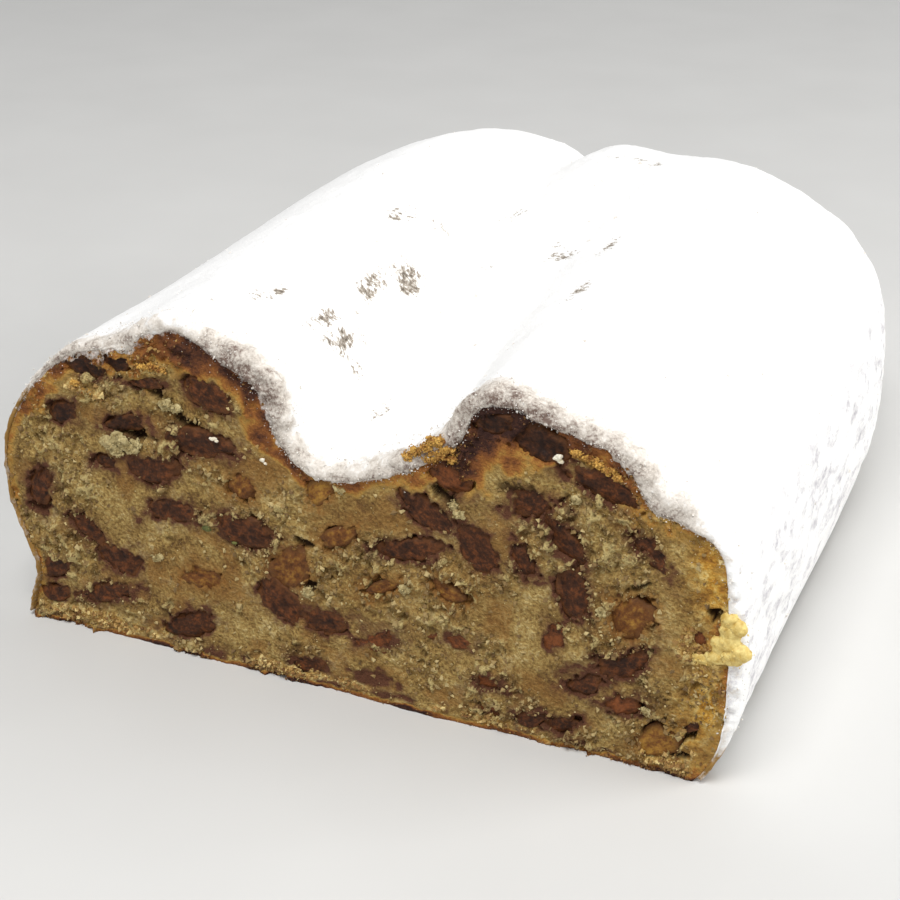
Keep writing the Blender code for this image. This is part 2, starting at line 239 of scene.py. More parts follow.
def in_oval(points, middle, half, tilt, bend=0):
    """How far out a point of the cut face lies in a tilted, bent oval: 0 at its middle, 1 at its edge.

    The oval's long axis is a parabola: bend times the square of the share of the half length.
    """
    away = points - np.array(middle)
    c, s = np.cos(radians(tilt)), np.sin(radians(tilt))
    along = (away[..., 0] * c + away[..., 1] * s) / half[0]
    beside = (away[..., 1] * c - away[..., 0] * s) / half[1]
    return np.hypot(along, beside - bend * (along**2 - 0.4))


def in_patches(points, rows, frayed, faint, full):
    """How strongly points lie in any of the oval patches.

    A patch's strength is eased in as the fraying noise less the distance from its middle, in half widths,
    goes from faint to full.
    """
    strongest = np.zeros(points.shape[:-1])
    for across, up, half_length, half_width, tilt, strength in rows:
        oval = in_oval(points, (across, up), (half_length, half_width), tilt)
        strongest = np.maximum(strongest, strength * ease(frayed - oval, faint, full))
    return strongest


def fruit_place(name):
    """Middle, half sizes, tilt and bend in the cut plane of a CAD fruit, from the spread of its corners."""
    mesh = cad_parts[name].data
    corners = np.zeros(len(mesh.vertices) * 3)
    mesh.vertices.foreach_get("co", corners)
    flat = np.unique(np.round((corners.reshape(-1, 3) / MM - LOAF_ORIGIN)[:, [0, 2]], 2), axis=0)
    axes = np.linalg.svd(flat - flat.mean(0))[2]
    spread = flat @ axes.T
    middle = (spread.max(0) + spread.min(0)) / 2 @ axes
    bend = FRUIT_BEND * (2 * float(chance(np.array([len(name), int(name[-2:])]), 67)) - 1)
    return middle, np.ptp(spread, axis=0) / 2, float(np.degrees(np.arctan2(axes[0, 1], axes[0, 0]))), bend


def patch(bottom, top, left, right):
    """Coons patch: ruled from bottom to top, plus ruled left to right, less the blend of the corners."""
    u = np.linspace(0, 1, len(bottom))[None, :, None]
    v = np.linspace(0, 1, len(left))[:, None, None]
    corners = (1 - v) * ((1 - u) * bottom[0] + u * bottom[-1]) + v * ((1 - u) * top[0] + u * top[-1])
    return (1 - v) * bottom + v * top + (1 - u) * left[:, None] + u * right[:, None] - corners


def even_places(first, last, count):
    """Places along the outline from first to last, at equal distances along it."""
    s = np.linspace(first, last, 2000)
    step = np.linalg.norm(np.diff(curve_at(OUTLINE, s), axis=0), axis=1)
    walked = np.concatenate([[0], np.cumsum(step)])
    return np.interp(np.linspace(0, walked[-1], count), walked, s)


def quads(index):
    """Faces between neighbouring rows and columns of a grid of point numbers; triangles at a pole, where a
    row is all one point."""
    a, b, c, d = index[:-1, :-1], index[:-1, 1:], index[1:, 1:], index[1:, :-1]
    faces = np.stack([a, b, c, d], -1).reshape(-1, 4)
    first_pole, last_pole = faces[:, 0] == faces[:, 1], faces[:, 2] == faces[:, 3]
    full = ~(first_pole | last_pole)
    return faces[full].tolist() + faces[first_pole][:, 1:].tolist() + faces[last_pole][:, :3].tolist()


def thinned(fine, coarse, ratio):
    """Triangles between a run of points and one with ratio times fewer, which starts and ends beside it."""
    fans = [np.stack([fine[k:-1:ratio], fine[k + 1 :: ratio], coarse[:-1]], 1) for k in range(ratio)]
    last = np.stack([fine[ratio::ratio], coarse[1:], coarse[:-1]], 1)
    return np.concatenate([*fans, last]).tolist()


def with_tip(grid, first, tip):
    """Point numbers for a grid, from first on, with a row beyond it that is all one point, the tip; and the
    points themselves."""
    rows, columns = grid.shape[:2]
    index = first + np.arange(rows * columns).reshape(rows, columns)
    index = np.vstack([index, np.full((1, columns), first + rows * columns)])
    return index, np.vstack([grid.reshape(-1, 3), tip])


def lifted(grid, height):
    """A grid of points moved along its surface's normals by a height, in mm."""
    normal = np.cross(np.gradient(grid, axis=1), np.gradient(grid, axis=0))
    normal /= np.maximum(np.linalg.norm(normal, axis=-1, keepdims=True), 1e-9)
    return grid + normal * height[..., None]


def new_piece(name, points, faces, material, attributes=(), smooth=True):
    """A mesh object from points in the loaf's frame, in mm, with attributes that give a number per point."""
    mesh = bpy.data.meshes.new(name)
    mesh.from_pydata(((np.asarray(points) + LOAF_ORIGIN) * MM).tolist(), [], faces)
    for label, values in dict(attributes).items():
        numbers = mesh.attributes.new(label, "FLOAT", "POINT").data
        numbers.foreach_set("value", np.ravel(values).astype(np.float32))
    mesh.materials.append(material)
    if smooth:
        mesh.shade_smooth()
    piece = bpy.data.objects.new(name, mesh)
    bpy.context.scene.collection.objects.link(piece)
    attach(piece, "root")
    return piece


def colour(code):
    """Linear red, green and blue, and 1, from an sRGB hex code."""
    share = np.array([int(code[i : i + 2], 16) / 255 for i in (1, 3, 5)])
    linear = np.where(share <= 0.04045, share / 12.92, ((share + 0.055) / 1.055) ** 2.4)
    return (*linear.tolist(), 1.0)


def add(tree, kind, inputs=(), stops=(), **settings):
    """Adds a node and returns its outputs. An input is a value or a node's output; stops make a ramp."""
    made = tree.nodes.new("ShaderNode" + kind)
    for name, value in settings.items():
        setattr(made, name, value)
    for socket, value in dict(inputs).items():
        if isinstance(value, bpy.types.NodeSocket):
            tree.links.new(value, made.inputs[socket])
        else:
            made.inputs[socket].default_value = value
    if stops:
        ramp = made.color_ramp.elements
        for place, code in stops[2:]:
            ramp.new(place)
        for element, (place, code) in zip(ramp, stops):
            element.position = place
            element.color = colour(code)
    return made.outputs


def new_material(name):
    """A material with a Principled shader, its node tree and that shader."""
    made = bpy.data.materials.new(name)
    made.use_nodes = True
    return made, made.node_tree, made.node_tree.nodes["Principled BSDF"]


def weighted(tree, level, *patterns):
    """The sum of a level and each pattern times its weight."""
    for pattern, weight in patterns:
        level = add(tree, "Math", {0: pattern, 1: weight, 2: level}, operation="MULTIPLY_ADD")[0]
    return level


def layered(tree, tint, *layers):
    """The tint under layers of colour, laid on in order, each mixed in by its share."""
    for share, top in layers:
        top = colour(top) if isinstance(top, str) else top
        tint = add(tree, "MixRGB", {"Fac": share, "Color1": tint, "Color2": top})["Color"]
    return tint


def surfaced(tree, shader, tint, roughness, specular=0.5, height=None, strength=1.0, depth=0.0):
    """Gives the shader its colour, roughness and specular level, and a bump that is depth mm high."""
    tree.links.new(tint, shader.inputs["Base Color"])
    shader.inputs["Roughness"].default_value = roughness
    shader.inputs["Specular IOR Level"].default_value = specular
    if height:
        bump = add(tree, "Bump", {"Height": height, "Strength": strength, "Distance": depth * MM})["Normal"]
        tree.links.new(bump, shader.inputs["Normal"])


# The frame's loaf gives the place of the loaf's own frame: its left side, the cut plane and the base.
low = np.array(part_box("loaf")[0]) / MM
leftmost = loft(np.linspace(0, LAST_PLACE, 400), np.linspace(0, 190, 96)[:, None])[..., 0].min()
LOAF_ORIGIN = np.array([low[0] - leftmost, low[1], low[2]])

RAISINS = sorted(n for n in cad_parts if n.startswith("raisin_"))
SULTANAS = sorted(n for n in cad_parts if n.startswith("sultana_"))
HALF_COVERED = (20, 22, 26, 29, 30, 35, 43, 44, 45)     # raisins that the crumb closes over,
COVER = 0.9                                             # by this much more than over the others, mm
fruit_places = {name: fruit_place(name) for name in RAISINS + SULTANAS}


def fruit_nearness(points, names):
    """How far points of the cut face are outside the nearest fruit's edge, in mm, and below 0 inside it."""
    outside = np.full(points.shape[:-1], 99.0)
    for name in names:
        middle, half, tilt, bend = fruit_places[name]
        cover = COVER if int(name[-2:]) in HALF_COVERED and name in RAISINS else 0.0
        outside = np.minimum(outside, (in_oval(points, middle, half, tilt, bend) - 1) * half.min() + cover)
    return outside


def cut_relief(points):
    """How far the crumb stands out of the cut plane, in mm, and the masks that colour it.

    The knife's wave, plus grains where the crumb has torn, less pores, tears and the fruits' hollows.
    """
    x, z = np.moveaxis(points, -1, 0)
    # The knife has left the crumb smooth at the right shoulder, and smooth and torn in patches elsewhere.
    smeared = ease(x, 57, 64) * bell(z, 40, 12)
    torn = ease(rough(points, TORN_PATCH, 11), -0.45, 0.35) * (1 - 0.75 * smeared)
    wave = KNIFE_WAVE * noise(points, 26.0, 3) + 0.35 * noise(points, 9.0, 5)
    clod = (0.12 + 0.3 * torn) * rough(points, 2.8 * GRAIN, 21, 2)
    bitten = points + 0.7 * np.stack([noise(points, 1.3 * GRAIN, seed) for seed in (23, 25)], -1)
    layer = rough(bitten, 1.7 * GRAIN, 24)
    flake = 0.22 * ease(layer, -0.15, 0) + 0.3 * ease(layer, 0.3, 0.45) + 0.4 * ease(layer, 0.7, 0.85)
    grain = (0.1 + 0.9 * torn) * flake + (0.05 + 0.1 * torn) * noise(points, 0.6 * GRAIN, 28)
    gap, size = nearest(bitten, PORE_SPACING, 31)
    pore = PORE_DEPTH * (0.25 + 0.75 * torn) * size * ease(-gap, -0.38 * PORE_SPACING * (0.35 + size), 0)
    gap, size = nearest(bitten, 1.35 * GRAIN, 41)
    pinhole = 0.6 * torn * (size > 0.6) * ease(-gap, -0.5 * GRAIN, 0)
    tear = in_patches(bitten, TEARS, 0.5 * rough(points, 2.4, 51), -1.1, -0.7)
    smear = in_patches(points, SMEARS, 0.5 * rough(points, 2.2, 57), -1.2, -0.5)
    gold = in_patches(points, GOLDEN_PATCHES, 0.5 * rough(points, 2.0, 55), -1.2, -0.6)
    uneven = 0.9 * noise(points, 2.3, 61) + 0.7 * noise(points, 0.9, 62) + 0.3 * noise(points, 0.45, 63)
    by_raisin = fruit_nearness(points, RAISINS) + uneven
    by_sultana = fruit_nearness(points, SULTANAS) + uneven
    hollow = FRUIT_RECESS * ease(-np.minimum(by_raisin, by_sultana), -0.1, 0.5)
    relief = wave + clod + grain - pore - pinhole - 0.3 * smear - np.maximum(tear, hollow)
    # Juice soaks in this many mm from a fruit, the base's border is scorched, and the right side is golden.
    soaked = 0.5 + 0.45 * (1 + noise(points, 4.0, 65))
    scorched = 0.85 * ease(-z, -5.5, -1.0) * ease(noise(points, 3.2, 67), -0.1, 0.3)
    honey = np.maximum(bell(x, 72, 4.5) * bell(z, 42, 9), bell(x, 66, 4.5) * bell(z, 51.5, 3))
    honey = np.maximum(honey, 0.9 * bell(x - 0.2 * z, 68, 4) * bell(z, 15, 9))
    honey = np.clip(honey * (1.0 + 0.5 * noise(points, 3.0, 75)), 0, 1)
    juicy = 0.55 * ease(noise(points, 5.5, 69), 0.12, 0.5) * (1 - 0.6 * torn)
    by_fruit = np.exp(-np.clip(by_raisin, 0, None) / soaked)
    masks = {
        "torn": np.maximum(torn, gold),
        "flake": np.maximum(torn, gold) * ease(layer, 0.25, 0.8),
        # hollow: pores, pinholes and tears, which the crumb's material darkens with painted shade; loose
        # crumbs gather there too
        "hollow": np.clip(0.5 * pore / PORE_DEPTH + 0.6 * pinhole + tear / 1.2, 0, 1),
        "stain": np.maximum(by_fruit, np.maximum(scorched, smear)),
        "rust": np.maximum(np.exp(-np.clip(by_sultana, 0, None) / (1.6 * soaked)), juicy),
        "gold": gold,
        "honey": honey,
    }
    return relief, masks


def from_rim(points, first, last, count):
    """Distance of points of the cut face from the outline between two places on it, in mm."""
    rim = curve_at(OUTLINE, even_places(first, last, count))
    return np.min([np.linalg.norm(points - p, axis=-1) for p in rim], axis=0)


def baked(points):
    """How far the oven has browned the cut face's border, 0 for crumb to 1 for the darkest crust.

    It falls off with the distance from the outline, over a depth that changes from place to place.
    """
    distance = from_rim(points, 0, LAST_PLACE, 400)
    x, z = np.moveaxis(points, -1, 0)
    on_top = ease(z, 40, 50)
    left_side = ease(-x, 52, 60) * (1 - on_top)
    shoulder = ease(x, 49, 60)
    # The browned layer is thick over the two lobes and at the right shoulder, and thin in the groove.
    lobes = 2.2 + 3.4 * bell(x, -32, 9) + 3.6 * bell(x, 34, 12) - 1.6 * bell(x, 8, 11)
    depth = 2.4 - 1.2 * left_side + on_top * lobes + 3.5 * bell(z, 25, 6) * shoulder
    depth = depth * (1 + 0.5 * noise(points, 5.0, 71) + 0.3 * noise(points, 1.8, 72))
    # It is darkest over the right lobe, and paler on the golden right side and on the left.
    lobes = 0.22 * bell(x, -31, 8) + 0.62 * bell(x, 34, 13) - 0.15 * bell(x, 10, 9)
    golden = 0.4 * bell(z, 42, 14) + 0.4 * bell(z, 14, 11)
    strength = 0.5 + on_top * lobes + 0.3 * on_top * bell(x, -18, 8) - golden * shoulder
    strength = strength - 0.25 * left_side - 0.1 * ease(-z, -30, 0)
    sides = np.clip(strength + 0.26 * rough(points, 3.0, 73), 0, 1)
    sides = sides * ease(-distance / depth, -1.35, -0.35)
    singed = 0.55 + 0.45 * ease(noise(points, 8.0, 79), -0.5, 0.2)
    base = ease(-z + 0.45 * rough(points, 2.4, 75), -1.3, -0.3) * singed
    return np.maximum(sides, base)


def dusted(points):
    """How much icing sugar lies on the cut face: a little under the coat, and a drift at the top left."""
    distance = from_rim(points, *COAT_PLACES, 300)
    x, z = np.moveaxis(points, -1, 0)
    reach = (0.5 + 3.6 * bell(x, -46, 8) + 0.8 * bell(x, -15, 6)) * ease(z, 42, 50) + 0.2
    return ease(-distance / reach + 0.5 * rough(points, 1.5, 77, 2), -1.2, -0.3)


feet_to_top = [even_places(foot, top, FACE_ROWS + 1) for foot, top in zip((0, LAST_PLACE), SHOULDERS)]
left, right = (curve_at(OUTLINE, s) for s in feet_to_top)
top_places = even_places(*SHOULDERS, FACE_COLUMNS + 1)
base_line = np.linspace(left[0], right[0], FACE_COLUMNS + 1)
face = patch(base_line, curve_at(OUTLINE, top_places), left, right)
relief, masks = cut_relief(face)
masks["bake"] = baked(face)
masks["dust"] = dusted(face)
face_points = np.stack([face[..., 0], -relief, face[..., 1]], -1)
face_index = np.arange(face[..., 0].size).reshape(face.shape[:2])

# The crust: from each point of the face's border, up one side, over the top, down the other and back along
# the base, rows run to the tip.
outline_places = np.concatenate([feet_to_top[0], top_places[1:], feet_to_top[1][-2::-1]])
crust_y = stations(CRUST_STARTS, *CRUST_ROWS)
over = loft(outline_places, crust_y)
over = lifted(over, 0.22 * rough(over, 6.0, 81) * ease(crust_y, 0, 6))
over[..., 2] = np.maximum(over[..., 2], 0)
along_base = np.linspace(0, 1, FACE_COLUMNS + 1)[1:-1, None]
under = over[:, None, -1] * (1 - along_base) + over[:, None, 0] * along_base
crust = np.concatenate([over, under], 1)
border = np.concatenate([
    face_index[:-1, 0], face_index[-1, :-1], face_index[:0:-1, -1], face_index[0, :0:-1]
])
first_row = face_index.size + np.arange(len(border))
tip = (over[-1, 0] + over[-1, -1]) / 2
rings, ring_points = with_tip(crust[1:, ::CRUST_THINNED], first_row[-1] + 1, tip)
loop = [np.concatenate([ring, ring[:1]]) for ring in (border, first_row, rings[0])]
crumb_faces = (
    quads(face_index)
    + quads(np.vstack(loop[:2]))
    + thinned(loop[1], loop[2], CRUST_THINNED)
    + quads(np.hstack([rings, rings[:, :1]]))
)
crumb_points = np.concatenate([face_points.reshape(-1, 3), crust[0], ring_points])
skin_points = crumb_points[face_index.size :]
skin_bake = 0.62 + 0.22 * rough(skin_points, 9.0, 91) + 0.15 * ease(skin_points[:, 2], 40, 65)
skin_bake = np.clip(skin_bake, 0, 1)
crumb_masks = {
    label: np.concatenate([np.ravel(values), skin_bake if label == "bake" else 0 * skin_bake])
    for label, values in masks.items()
}

# Baked sweet dough: a buttery, matt, olive-cream crumb that the knife has smeared smooth in one place and
# torn into pale grains in the next, and that browns from gold to dark brown over the last few millimetres.
# Its pores, pinholes and tears are darkened with painted shade.
crumb, tree, shader = new_material("baked sweet dough, cut with a knife")
place = add(tree, "TexCoord")["Object"]
mask = {label: add(tree, "Attribute", attribute_name=label)["Fac"] for label in crumb_masks}
blotch, clump, fine = (
    add(
        tree, "TexNoise", {"Vector": place, "Scale": 1 / (size * MM), "Detail": octaves, "Roughness": rise}
    )["Fac"]
    for size, octaves, rise in ((7.0, 3.0, 0.5), (1.9, 4.0, 0.65), (0.6, 2.0, 0.6))
)
level = weighted(tree, -0.03, (blotch, 0.35), (clump, 0.3), (fine, 0.4))
soak = add(tree, "Math", {0: weighted(tree, -0.6, (clump, 1.2)), 1: mask["stain"]}, operation="ADD")[0]
brown = weighted(tree, -0.52, (clump, 0.55), (fine, 0.5))
brown = add(tree, "Math", {0: brown, 1: mask["bake"]}, operation="ADD")[0]
crumb_tint, gold_tint, honey_tint, crust_tint = (
    add(tree, "ValToRGB", {"Fac": pattern}, shades)["Color"]
    for pattern, *shades in (
        (
            level, (0.37, "#5C4427"), (0.43, "#7C6134"), (0.49, "#967A45"), (0.55, "#A98F56"),
            (0.63, "#C6B079"),
        ),
        (clump, (0.38, "#8A6833"), (0.5, "#BB9856"), (0.6, "#D9C385")),
        (clump, (0.36, "#8E6127"), (0.46, "#B2802F"), (0.54, "#C39743"), (0.64, "#DCBE75")),
        (
            brown, (0.05, "#A98948"), (0.25, "#A77B3A"), (0.42, "#935F2D"), (0.62, "#774826"),
            (0.85, "#4F2F20"), (1.0, "#36201A"),
        ),
    )
)
pale, dusty = (
    add(tree, "Math", {0: pattern, 1: share}, operation="MULTIPLY")[0]
    for pattern, share in ((mask["flake"], fine), (fine, mask["dust"]))
)
is_soaked, is_pale, is_crust, is_dusty = (
    add(tree, "ValToRGB", {"Fac": pattern}, [(none, "#000000"), (full, "#FFFFFF")])["Color"]
    for pattern, none, full in (
        (soak, 0.05, 0.75), (pale, 0.2, 0.5), (mask["bake"], 0.02, 0.2), (dusty, 0.25, 0.55)
    )
)
# The hollow mask lays #33210F into pores, pinholes and tears: painted shade.
tint = layered(
    tree, crumb_tint, (mask["rust"], "#875E2E"), (is_soaked, "#5A3826"), (mask["gold"], gold_tint),
    (is_pale, "#BBA770"), (mask["honey"], honey_tint), (mask["hollow"], "#33210F"), (is_crust, crust_tint),
    (is_dusty, "#D3CAC2"),
)
bumps = weighted(tree, fine, (clump, 1.5))
surfaced(tree, shader, tint, roughness=0.8, specular=0.2, height=bumps, depth=0.5)

loaf = new_piece("crumb_and_crust", crumb_points, crumb_faces, crumb, crumb_masks)
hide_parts("loaf")

# ---------------------------------------------------------------------------------------------------
# The sugar coat: icing sugar sieved thickly over the buttered crust while it is warm, so that it packs to a
# soft white layer. It is thin on the left side and at the feet, and thick where it has slid down and
# caught. The knife leaves its edge crumbly, and here and there it has sunk into small pits.

COAT_GAP = 0.3              # clearance to the crust
COAT_THICKNESS = 2.2        # mm, as are the lengths below
THIN_SHARE = 0.3            # of that thickness, on the left side and down at the feet
LEFT_EDGE = (-62.0, -32.0)  # the coat thins between these, towards the left side
FULL_HEIGHT = 20.0          # above this height the coat is at its full thickness
CAUGHT_EXTRA = 0.9          # share more of it where it has slid down and caught
CAUGHT_AT = [(-16.0, 7.0), (62.0, 6.0)]     # the groove's left slope and the right shoulder: middle, reach
COAT_COLUMNS = 450          # steps across the outside
COAT_ROWS = (50, 88)        # rows along the straight stretch and round the end
LINING_STARTS = [1.0, 2.0, 3.5, 5.0, 7.0, 9.0, 11.0, 13.5]     # the lining's first rows, mm from the cut
LINING_ROWS = (17, 30)
LINING_THINNED = 3          # the lining has a third of the outside's points each way
LIP_REACH = 0.8             # how far the powder spills down over the cut
LOWEST_SUGAR = 0.15         # the coat ends this far above the base
# The coat's cut edge. First the lip: share of its reach, how far it stands out from the crumb. Then the cut
# itself, from the crust outwards: share of the thickness, distance from the cut.
LIP = [(0.0, -0.8), (0.8, -0.2), (1.0, 0.1), (0.5, 0.35)]
CUT_EDGE = [(0.0, -0.5), (0.22, -0.5), (0.44, -0.4), (0.66, -0.2), (0.84, 0.2), (0.96, 0.8), (1.0, 1.5)]
PIT_SPREAD = (1.55, 1.45)   # how much further than in the list the pits reach, across and along
PIT_DEPTH = 0.3
# Pits: across, distance from the cut, their reach across and along the loaf, and how dark they are
PITS = [
    (-21.7, 77.3, 2.2, 3.6, 0.85), (-15.8, 84.6, 1.0, 2.4, 0.95), (-7.7, 106.5, 3.2, 3.6, 0.65),
    (-1.4, 78.5, 1.9, 2.2, 0.75), (14.4, 78.8, 2.0, 2.8, 1.0), (11.0, 84.0, 0.8, 1.4, 0.8),
    (24.2, 78.0, 1.2, 4.2, 0.9), (27.5, 53.0, 1.2, 4.2, 1.0), (-12.9, 62.5, 2.0, 3.6, 0.85),
    (-12.0, 59.5, 0.9, 2.0, 1.2), (-15.0, 50.5, 1.4, 4.6, 0.75), (-14.0, 46.0, 0.9, 2.4, 0.85),
    (-24.2, 22.5, 1.7, 3.2, 0.65), (-23.2, 27.0, 0.6, 1.4, 0.9), (-14.2, 28.4, 0.9, 2.6, 0.95),
    (-13.9, 21.6, 1.1, 2.6, 0.9), (-10.8, 26.0, 0.9, 3.2, 1.0), (-10.4, 33.0, 1.0, 3.2, 0.7),
    (-7.3, 27.3, 1.2, 2.8, 0.5), (1.5, 18.0, 1.5, 2.6, 0.9), (14.6, 140.3, 1.4, 3.0, 0.7),
    (5.1, 143.0, 2.6, 1.8, 0.6), (10.0, 143.5, 1.6, 1.6, 0.6),
]

coat_places = even_places(*COAT_PLACES, COAT_COLUMNS + 1)
outline_points = curve_at(OUTLINE, coat_places)
across, up = outline_points.T
thickness = THIN_SHARE + (1 - THIN_SHARE) * ease(up, 5, FULL_HEIGHT) * ease(across, *LEFT_EDGE)
thickness *= 1 + CAUGHT_EXTRA * sum(bell(across, *caught) for caught in CAUGHT_AT) * (up > FULL_HEIGHT)
thickness *= COAT_THICKNESS
edge_share, edge_y = np.array(CUT_EDGE).T
front_y = np.concatenate([edge_y, np.arange(2.2, 15, 0.8)])
longer = COAT_GAP + COAT_THICKNESS
coat_y = stations(front_y, *COAT_ROWS, longer)
coat_share = np.ones_like(coat_y)
coat_share[: len(edge_share), 0] = edge_share
coat_lift = COAT_GAP + thickness * coat_share
outside = loft(coat_places, coat_y, coat_lift, longer)

# What shapes the powder: low lumps, a ragged cut edge, shallow slides down the right side, and the pits.
x, y, z = np.moveaxis(outside, -1, 0)
crumbly = 0.12 + 0.3 * ease(-coat_y, -7, -1)
lumps = 0.3 * rough(outside, 11.0, 101) + crumbly * rough(outside, 2.2, 104)
slides = outside * np.array([1, 0.5, 1])
steep = ease(x, 56, 68) * ease(z, 2, 12) * ease(-z, -52, -38)
lumps -= 0.3 * steep * ease(rough(slides, 5.0, 107), -0.1, 0.6)
spots = sum(
    dark * bell(x, at, PIT_SPREAD[0] * wide) * bell(y, deep, PIT_SPREAD[1] * long)
    for at, deep, wide, long, dark in PITS
)
pitted = np.clip(1.4 * spots * (0.75 + 0.45 * rough(outside, 2.2, 111, 2)), 0, 1.2) * (z > 40)
lumps -= PIT_DEPTH * pitted
full = np.minimum(thickness / COAT_THICKNESS, 1.3) * coat_share
outside = lifted(outside, lumps * full)
outside[..., 1] += 0.5 * rough(outside, 2.0, 121) * ease(-coat_y, -3, 0)
outside[..., 2] = np.maximum(outside[..., 2], LOWEST_SUGAR)

# The lip of powder that spills over the cut, furthest at the left lobe and least at the two sides.
spill = LIP_REACH * np.clip(0.3 + 0.9 * rough(outline_points, 2.6, 123), 0.1, 1.6)
drift = 2.2 * bell(across, -45, 7) - 0.7 * bell(across, -31, 5)
spill = (spill * (1 + drift - ease(across, 60, 70) - ease(-across, 54, 62))).clip(0.05)
lip_share, lip_out = np.array(LIP)[..., None].transpose(1, 0, 2)
lip_lift = COAT_GAP - (COAT_GAP + spill) * lip_share
lip_plane = outline_points + lip_lift[..., None] * outward_at(OUTLINE, coat_places)
lip_plane[..., 1] = np.maximum(lip_plane[..., 1], LOWEST_SUGAR)
lip_y = -cut_relief(lip_plane)[0].clip(-1.0, 1.0) - lip_out
lip = np.stack([lip_plane[..., 0], lip_y, lip_plane[..., 1]], -1)
outside = np.concatenate([lip, outside])
coat_share = np.concatenate([-lip_share, coat_share])

# The lining follows the crust, and joins the outside at the cut and along its two lower borders.
lining_y = stations(LINING_STARTS, *LINING_ROWS, COAT_GAP)
lining = loft(coat_places[::LINING_THINNED], lining_y, COAT_GAP, COAT_GAP)
outer_index, outer_points = with_tip(outside, 0, (outside[-1, 0] + outside[-1, -1]) / 2)
lining_index, lining_points = with_tip(lining, len(outer_points), (lining[-1, 0] + lining[-1, -1]) / 2)
coat_faces = quads(outer_index) + quads(lining_index[:, ::-1])
for edge in (np.s_[0, ::-1], np.s_[::-1, -1], np.s_[:, 0]):
    coat_faces += thinned(outer_index[edge], lining_index[edge], LINING_THINNED)

# Masks: where the coat is bare, at the foot and on the left side, and where its cut edge is soiled and
# greyed with painted shade.
x, y, z = np.moveaxis(outside, -1, 0)
near_cut = ease(-y, -9, -2)
foot = np.maximum(0.7 * ease(-z, -5, 0.5), near_cut * ease(-z, -12, -6) * (x > 0))
left_side = ease(-x, 50, 62) * ease(-z, -60, -46)
bare = np.clip(foot + (0.35 + 0.65 * near_cut) * left_side, 0, 1)
in_edge = 0.64 - 0.26 * np.abs(coat_share) - 0.3 * ease(y, 0.8, 4.0) + 0.25 * rough(outside, 1.6, 131)
in_edge += 0.25 * (bell(x, -17, 7) + bell(x, 36, 16) - bell(x, -31, 5)) * (z > 45)
in_edge -= 0.42 * ease(x, 64, 72)
in_edge = np.clip(in_edge, 0, 1) * ease(-y, -6.5 - 3 * bell(x, 36, 16), -1)
pitted, steep = (np.vstack([np.zeros((len(lip), len(coat_places))), values]) for values in (pitted, steep))
coat_masks = {
    label: np.concatenate([np.ravel(values), np.zeros(1 + len(lining_points))])
    for label, values in {"pitted": pitted, "bare": bare, "edge": in_edge, "steep": steep}.items()
}

# Icing sugar: a fine dry powder, so it is pure white and dead matt. Butter and crumbs grey its cut edge, and
# painted shade greys it further; thin places let the crust through; the pits show the damp brown under it
# with painted shade in them; and the slides down the right side are streaked with painted shade.
sugar, tree, shader = new_material("icing sugar, sieved")
place = add(tree, "TexCoord")["Object"]
mask = {label: add(tree, "Attribute", attribute_name=label)["Fac"] for label in coat_masks}
down = add(tree, "Mapping", {"Vector": place, "Scale": (1, 0.5, 1)})["Vector"]
clumps, grit, patches, streaks, speckle = (
    add(
        tree, "TexNoise", {"Vector": where, "Scale": 1 / (size * MM), "Detail": octaves, "Roughness": rise}
    )["Fac"]
    for where, size, octaves, rise in (
        (place, 1.6, 4.0, 0.6), (place, 0.6, 3.0, 0.7), (place, 5, 5.0, 0.7), (down, 4, 5.0, 0.75),
        (place, 1.1, 4.0, 0.75),
    )
)
# The pits' dark speckles: partly the damp brown under the sugar, partly painted shade in the pits.
damp_and_shade = weighted(tree, speckle, (mask["pitted"], 0.24))
# The cut edge greys from white to brown-grey: partly butter and crumbs, partly painted shade.
soiled_and_shaded = weighted(tree, -0.45, (clumps, 0.7), (grit, 2.2))
soiled_and_shaded = add(tree, "Math", {0: mask["edge"], 1: soiled_and_shaded}, operation="MULTIPLY")[0]
sugar_tint, damp_and_shade_tint = (
    add(tree, "ValToRGB", {"Fac": pattern}, shades)["Color"]
    for pattern, *shades in (
        (soiled_and_shaded, (0.1, "#F9F8F6"), (0.3, "#E4DDD4"), (0.55, "#CBC2B7"), (0.8, "#A0948A"), (1.0, "#75635A")),
        (damp_and_shade, (0.67, "#DAD5CE"), (0.74, "#B4AA9D"), (0.82, "#8C8276"), (0.93, "#574E44")),
    )
)
thin = add(tree, "Math", {0: patches, 1: mask["bare"]}, operation="MULTIPLY")[0]
is_streak, is_thin, is_damp_and_shade, is_pit = (
    add(tree, "ValToRGB", {"Fac": pattern}, [(none, "#000000"), (full, "#FFFFFF")])["Color"]
    for pattern, none, full in (
        (streaks, 0.5, 0.72), (thin, 0.28, 0.5), (damp_and_shade, 0.67, 0.73), (mask["pitted"], 0.05, 0.25)
    )
)
painted_slide_shade, is_damp_and_shade_pit = (
    add(tree, "Math", {0: pattern, 1: share}, operation="MULTIPLY")[0]
    for pattern, share in ((is_streak, mask["steep"]), (is_damp_and_shade, is_pit))
)
# The lavender-grey streaks on the steep right side are painted shade of the slides' small relief.
tint = layered(tree, sugar_tint, (painted_slide_shade, "#A9A4AC"), (is_thin, "#97743F"), (is_damp_and_shade_pit, damp_and_shade_tint))
bumps = weighted(tree, clumps, (grit, 0.7))
surfaced(tree, shader, tint, roughness=0.95, specular=0.15, height=bumps, strength=0.8, depth=0.35)

coat = new_piece("icing_sugar", np.vstack([outer_points, lining_points]), coat_faces, sugar, coat_masks)
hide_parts("sugar_coat")

